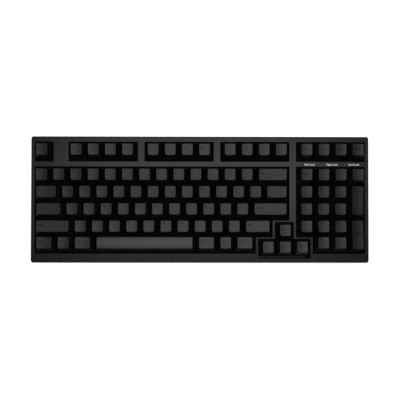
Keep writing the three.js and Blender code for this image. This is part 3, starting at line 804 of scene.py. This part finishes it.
outer_loop = [Vector(p) for p in rounded_rect(-CASE_X, 0, CASE_X, SLOPE, CASE_CORNER, 8)]
hole_loops = [clockwise(opening_loop(c)) for c in OPENINGS]
light_loops = [clockwise(circle_loop(*light_place(n), LIGHT_HOLE)) for n in LIGHTS]
outer_profile = [(o, -d) for o, d in edge_profile(BEZEL_ROUND)] + [
    (0, PARTING + PARTING_ROUND), (PARTING_ROUND, PARTING), (WALL, PARTING), (WALL, APRON_END),
]
hole_profile = [(o, -d) for o, d in edge_profile(HOLE_ROUND, 3)] + [(0, APRON_END)]


def deck_height(x, y, level):
    """Keeps the case's outer walls plumb while the bezel slopes."""
    near_wall = abs(x) > CASE_X - WALL - 0.1 or y < WALL + 0.1 or y > SLOPE - WALL - 0.1
    return Vector((x, y + (level * math.tan(TILT) if near_wall else 0), level))


top_case = mesh_object(
    "top_case_shell",
    *sheet_with_holes(
        [outer_loop] + hole_loops + light_loops,
        [outer_profile] + [hole_profile] * (len(hole_loops) + len(light_loops)),
        deck_height,
    ),
    CASE, DECK, 50,
)
own(top_case, "case", "case", "top_case")

for node, (words, offset, width) in LIGHTS.items():
    x, y = light_place(node)
    light_name = node.replace("_light", "")
    pipe = lathe([(0.95, -6), (0.95, -0.25), (0.8, 0.0), (0.45, 0.14), (0.15, 0.18)], 24, (x, y, 0))
    own(mesh_object(f"light_{light_name}", *pipe, LENS, DECK), "case", "lens", node)
    letters, letter_faces = text_part(words, LABEL_SIZE)
    right = max(v.x for v in letters)
    stretch = width / right
    placed = [Vector((x + offset + v.x * stretch, y + LABEL_BASE + v.y, LABEL_LIFT + v.z)) for v in letters]
    own(mesh_object(f"label_{light_name}", placed, letter_faces, LABEL, DECK, 20), "case", "lens")

# ---------------------------------------------------------------- bottom case
DECK_FRONT = front_height / MM
Y_FRONT = case_low.y / MM
# Thickness of the tray's floor in front, its rise towards the back per millimetre, and its outer rounding.
FLOOR_THICKNESS = 2.4
FLOOR_RISE = 0.045
BASE_ROUND = 1.4
# Depths of the recesses in the underside, their clearances, and the room for a finger in front of a foot.
FOOT_DEPTH, PAD_DEPTH, SCREW_DEPTH = 5.2, 0.8, 2.4
FOOT_CLEARANCE, PAD_CLEARANCE = 0.5, 0.25
FOOT_POCKET_SIDE = 0.8
FINGER_ROOM = 2.5
SCREW_HOLE = 3.1
base_level = level_box("bottom_case")[0].z


def case_height(x, y, level):
    """A point of the tray; its parting line follows the deck and its inner floor rises towards the back."""
    if level == "parting":
        rise = (y - Y_FRONT) * math.tan(TILT)
        return Vector((x, y, DECK_FRONT + rise + (PARTING - SHELL_GAP) / math.cos(TILT)))
    if level == "floor":
        return Vector((x, y, base_level + FLOOR_THICKNESS + max(0.0, y - Y_FRONT) * FLOOR_RISE))
    return Vector((x, y, level))


def around(node, grow):
    """Footprint of a node, grown on every side."""
    low, high = level_box(node)
    return low.x - grow, low.y - grow, high.x + grow, high.y + grow


recesses, recess_profiles = [], []


def recess(loop, depth, rim=0.2):
    """Notes a blind pocket in the underside, with a rounded rim."""
    recesses.append(clockwise([Vector(p) for p in loop]))
    rim_profile = [(o, base_level + d) for o, d in edge_profile(rim, 2)]
    recess_profiles.append(rim_profile + [(0, base_level + depth), None])


FEET = {"left_tilt_foot": "left_foot_swing", "right_tilt_foot": "right_foot_swing"}
for node in FEET:
    x0, y0, x1, y1 = around(node, FOOT_CLEARANCE)
    left, right = x0 + FOOT_POCKET_SIDE, x1 - FOOT_POCKET_SIDE
    recess(rounded_rect(left, y0 - FINGER_ROOM, right, y1, 1.0), FOOT_DEPTH)
PADS = ["front_left_pad", "front_right_pad", "rear_left_pad", "rear_right_pad"]
for node in PADS:
    recess(rounded_rect(*around(node, PAD_CLEARANCE), 2.2), PAD_DEPTH)
SCREWS = [f"case_screw_{i}" for i in (1, 2, 3, 4)]
for node in SCREWS:
    low, high = level_box(node)
    recess(circle_loop((low.x + high.x) / 2, (low.y + high.y) / 2, SCREW_HOLE, 32), SCREW_DEPTH)

base_loop = [Vector(p) for p in rounded_rect(-CASE_X, Y_FRONT, CASE_X, -Y_FRONT, CASE_CORNER, 8)]
base_profile = [(o, base_level + d) for o, d in edge_profile(BASE_ROUND)] + [
    (0, "parting"), (WALL, "parting"), (WALL, "floor"),
]
bottom_case = mesh_object(
    "bottom_case_shell",
    *sheet_with_holes([base_loop] + recesses, [base_profile] + recess_profiles, case_height),
    CASE, LEVEL, 50,
)


def facing_back(low, high, inset, y, radius):
    """A rounded outline across the back wall, round a box drawn in by inset."""
    loop = rounded_rect(low.x + inset, low.z + inset, high.x - inset, high.z - inset, radius)
    return [Vector((x, y, z)) for x, z in loop]


WINDOW_GAP = 0.3
socket_low, socket_high = level_box("usb_socket")
socket_middle = (socket_low + socket_high) / 2
window_ends = (socket_high.y - 3, socket_high.y + 8)
window = stack(
    [facing_back(socket_low, socket_high, -WINDOW_GAP, y, 0.8) for y in window_ends],
    *(Vector((socket_middle.x, y, socket_middle.z)) for y in window_ends),
)
cut_with(bottom_case, mesh_object("window", *window, CASE, LEVEL))
own(bottom_case, "case", "case", "bottom_case")

# ---------------------------------------------------------------- underside pieces
for node in PADS:
    low, high = level_box(node)
    pad = block(low.x, low.y, high.x, high.y, low.z, high.z, radius=1.9, edge=0.4, steps=6)
    own(mesh_object(f"rubber_{node}", *pad, RUBBER, LEVEL), "case", "pad", node)


def hexagon(radius, angle):
    """Distance from a hexagon's centre to its edge."""
    turned = (angle % (math.pi / 3)) - math.pi / 6
    return radius * math.cos(math.pi / 6) / math.cos(turned)


def screw_part(low, high):
    """A screw with its head down and a six-sided recess in the head."""
    x, y = (low.x + high.x) / 2, (low.y + high.y) / 2
    sides = 36
    recess_top = low.z + 1.2
    angles = [2 * math.pi * i / sides for i in range(sides)]
    round_rings = [(1.3, high.z), (1.4, high.z - 0.3), (1.4, low.z + 2.1), (2.7, low.z + 2.0),
                   (2.72, low.z + 0.6), (2.5, low.z + 0.25), (2.0, low.z + 0.05), (1.5, low.z)]
    rings = [[Vector((x + r * math.cos(a), y + r * math.sin(a), z)) for a in angles] for r, z in round_rings]
    for radius, z in ((1.2, low.z), (1.15, recess_top)):
        reach = [(hexagon(radius, a), a) for a in angles]
        rings.append([Vector((x + r * math.cos(a), y + r * math.sin(a), z)) for r, a in reach])
    return stack(rings, Vector((x, y, high.z)), Vector((x, y, recess_top)))


for node in SCREWS:
    own(mesh_object(f"{node}_hex", *screw_part(*level_box(node)), STEEL, LEVEL), "case", "bright_steel", node)

# How far a foot's leaf stands in from the ends of its pin.
FOOT_SIDE_GAP = 1.4
for node, joint in FEET.items():
    low, high = level_box(node)
    pivot = Vector(next(j["pos_m"] for j in record["behaviour"]["joints"] if j["name"] == joint)) / MM
    left, right = low.x + FOOT_SIDE_GAP, high.x - FOOT_SIDE_GAP
    radius = (high.z - low.z) / 2
    section = [(low.y + 1.2, low.z), (low.y, low.z + 1.2), (low.y, high.z - 0.6), (low.y + 0.6, high.z)]
    section += [
        (pivot.y + radius * math.sin(a), pivot.z + radius * math.cos(a))
        for a in (math.pi * k / 10 for k in range(11))
    ]
    rings = []
    for x, inset in ((left, 0.3), (left + 0.3, 0), (right - 0.3, 0), (right, 0.3)):
        rings.append([Vector((x, p.x, p.y)) for p in offset_left(section, -inset)])
    leaf = stack(rings, *(Vector((x, pivot.y - 6, pivot.z)) for x in (left, right)))
    ribs = [
        block(left + 3, y, right - 3, y + 0.9, low.z - 0.25, low.z + 0.6, radius=0.4, edge=0.2)
        for y in (low.y + 3.0, low.y + 5.0, low.y + 7.0)
    ]
    start, end = low.x - pivot.x, high.x - pivot.x
    pin = lathe([(0.9, start + 0.05), (1.0, start + 0.2), (1.0, end - 0.2), (0.9, end - 0.05)], 16)
    axle = [Vector((pivot.x + v.z, pivot.y + v.x, pivot.z + v.y)) for v in pin[0]], pin[1]
    own(mesh_object(f"{node}_leaf", *merged(leaf, axle, *ribs), CASE, LEVEL), node, "case", node)


# ---------------------------------------------------------------- cable socket
def socket_part(low, high, centre):
    """A steel shell with a mouth to the back and a tongue inside."""
    lip = Vector((1.2, 0, 0.9))
    mouth_low, mouth_high = low + lip, high - lip
    mouth_end = low.y + 2
    rings = [
        facing_back(low, high, 0, low.y, 0.8),
        facing_back(low, high, 0, high.y - 0.2, 0.8),
        facing_back(low, high, 0.2, high.y, 0.7),
        facing_back(mouth_low, mouth_high, 0, high.y, 0.6),
        facing_back(mouth_low, mouth_high, 0.2, high.y - 0.4, 0.5),
        facing_back(mouth_low, mouth_high, 0.2, mouth_end, 0.5),
    ]
    shell = stack(rings, Vector((centre.x, low.y, centre.z)), Vector((centre.x, mouth_end, centre.z)))
    left, right, below, above = centre.x - 2.6, centre.x + 2.6, centre.z - 0.5, centre.z + 0.5
    tongue = block(left, low.y + 1.8, right, high.y - 2.2, below, above, radius=0.2)
    return merged(shell, tongue)


socket_shell = mesh_object("socket_shell", *socket_part(socket_low, socket_high, socket_middle), STEEL, LEVEL)
own(socket_shell, "case", "bright_steel", "usb_socket")


# ---------------------------------------------------------------- switches
def housing_part():
    """A switch housing from its foot up its outside, over, and down into its well."""
    # Half width, half depth, level and corner radius of each ring.
    levels = [
        (6.8, 6.8, -12.6, 0.4), (6.95, 6.95, -12.2, 0.4), (6.95, 6.95, -8.0, 0.4), (7.7, 7.7, -7.98, 0.5),
        (7.7, 7.7, -7.3, 0.5), (7.5, 7.5, -7.05, 0.5), (6.95, 6.95, -7.0, 0.5), (6.7, 6.5, -5.4, 0.8),
        (5.6, 5.3, -1.75, 1.0), (5.3, 5.0, -1.45, 0.9), (3.8, 3.2, -1.4, 0.5), (3.6, 3.0, -1.6, 0.4),
        (3.6, 3.0, -12.0, 0.4),
    ]
    rings = [[Vector((x, y, z)) for x, y in rounded_rect(-a, -b, a, b, r, 2)] for a, b, z, r in levels]
    return stack(rings, Vector((0, 0, -12.6)), Vector((0, 0, -12.0)))


def stem_part(x, y):
    """A switch's slider with the cross that the cap sits on."""
    slider = block(x - 3.4, y - 2.8, x + 3.4, y + 2.8, -7.6, -1.25, radius=0.4, edge=0.2)
    arm, half = 2.05, 0.65
    outline = [(-half, -arm), (half, -arm), (half, -half), (arm, -half), (arm, half), (half, half),
               (half, arm), (-half, arm), (-half, half), (-arm, half), (-arm, -half), (-half, -half)]
    ends = (-2.0, 2.3)
    cross = [[Vector((x + a, y + b, z)) for a, b in outline] for z in ends]
    return merged(slider, stack(cross, *(Vector((x, y, z)) for z in ends)))


housing_vertices, housing_faces = housing_part()
housing_mesh = bpy.data.meshes.new("housing")
housing_mesh.from_pydata([tuple(v) for v in housing_vertices], [], housing_faces)
finish_mesh(housing_mesh, HOUSING, 35)
for i, (x, y, body) in enumerate(all_keys):
    housing = copy_at(f"switch_housing_{i + 1}", housing_mesh, x, y)
    own(housing, "case", "housing", *(["switch_housings"] if i == 0 else []))
for body in BODIES:
    stems = merged(*[stem_part(x, y) for x, y, owner in all_keys if owner == body])
    own(mesh_object(f"stems_{short_name(body)}", *stems, STEM, DECK), body, "housing")


# ---------------------------------------------------------------- stabiliser wires
def tube(path, radius, sides=12):
    """A round bar along a path of points in one plane."""
    rings = []
    normal = None
    for i, p in enumerate(path):
        ahead = (path[min(i + 1, len(path) - 1)] - p).normalized() if i < len(path) - 1 else None
        behind = (p - path[i - 1]).normalized() if i else None
        along = ((ahead or behind) + (behind or ahead)).normalized()
        normal = normal or (path[1] - path[0]).cross(path[len(path) // 2] - path[0]).normalized()
        side = along.cross(normal)
        rings.append([
            p + radius * (math.cos(a) * normal + math.sin(a) * side)
            for a in (2 * math.pi * k / sides for k in range(sides))
        ])
    return stack(rings, path[0], path[-1])


def bent_path(points, radius, steps=5):
    """Points of an open path with each corner rounded over radius along both of its legs."""
    path = [points[0]]
    for before, here, after in zip(points, points[1:], points[2:]):
        a, b = (before - here).normalized(), (after - here).normalized()
        start, end = here + a * radius, here + b * radius
        for k in range(steps + 1):
            t = k / steps
            path.append(start * (1 - t) ** 2 + here * 2 * t * (1 - t) + end * t * t)
    return path + [points[-1]]


# Angle and length of the wires' arms at rest, reach of their bends, and half their thickness.
WIRE_RISE = math.radians(44.1)
WIRE_ARM = 5.6
WIRE_BEND = 1.4
WIRE_RADIUS = 0.6
for joint in record["behaviour"]["joints"]:
    if not joint["name"].endswith("_wire_rock"):
        continue
    node = joint["child"]
    pivot = TO_DECK @ Vector(joint["pos_m"])
    low, high = deck_box(node)
    along_y = (high.y - low.y) > (high.x - low.x)
    spread = max(high.x - low.x, high.y - low.y) / 2 - WIRE_RADIUS
    up, out = WIRE_ARM * math.sin(WIRE_RISE), WIRE_ARM * math.cos(WIRE_RISE)
    corners = [Vector(c) for c in ((-spread, out, up), (-spread, 0, 0), (spread, 0, 0), (spread, out, up))]
    if along_y:
        corners = [Vector((-p.y, p.x, p.z)) for p in corners]
    wire = tube(bent_path([pivot + p for p in corners], WIRE_BEND), WIRE_RADIUS)
    own(mesh_object(f"{node}_bent", *wire, WIRE, DECK), node, "bright_steel", node)

# ---------------------------------------------------------------- floor and finish
FLOOR_REACH = 3
floor_corners = [(x * FLOOR_REACH, y * FLOOR_REACH, 0) for x, y in ((-1, -1), (1, -1), (1, 1), (-1, 1))]
floor = mesh_object("floor", floor_corners, [(0, 1, 2, 3)], FLOOR)

for node, look in {"switch_plate": PLATE_WITH_GAP_SHADE, "circuit_board": BOARD, "controller_chip": CHIP}.items():
    for material_slot in frame["nodes"][node].material_slots:
        material_slot.material = look
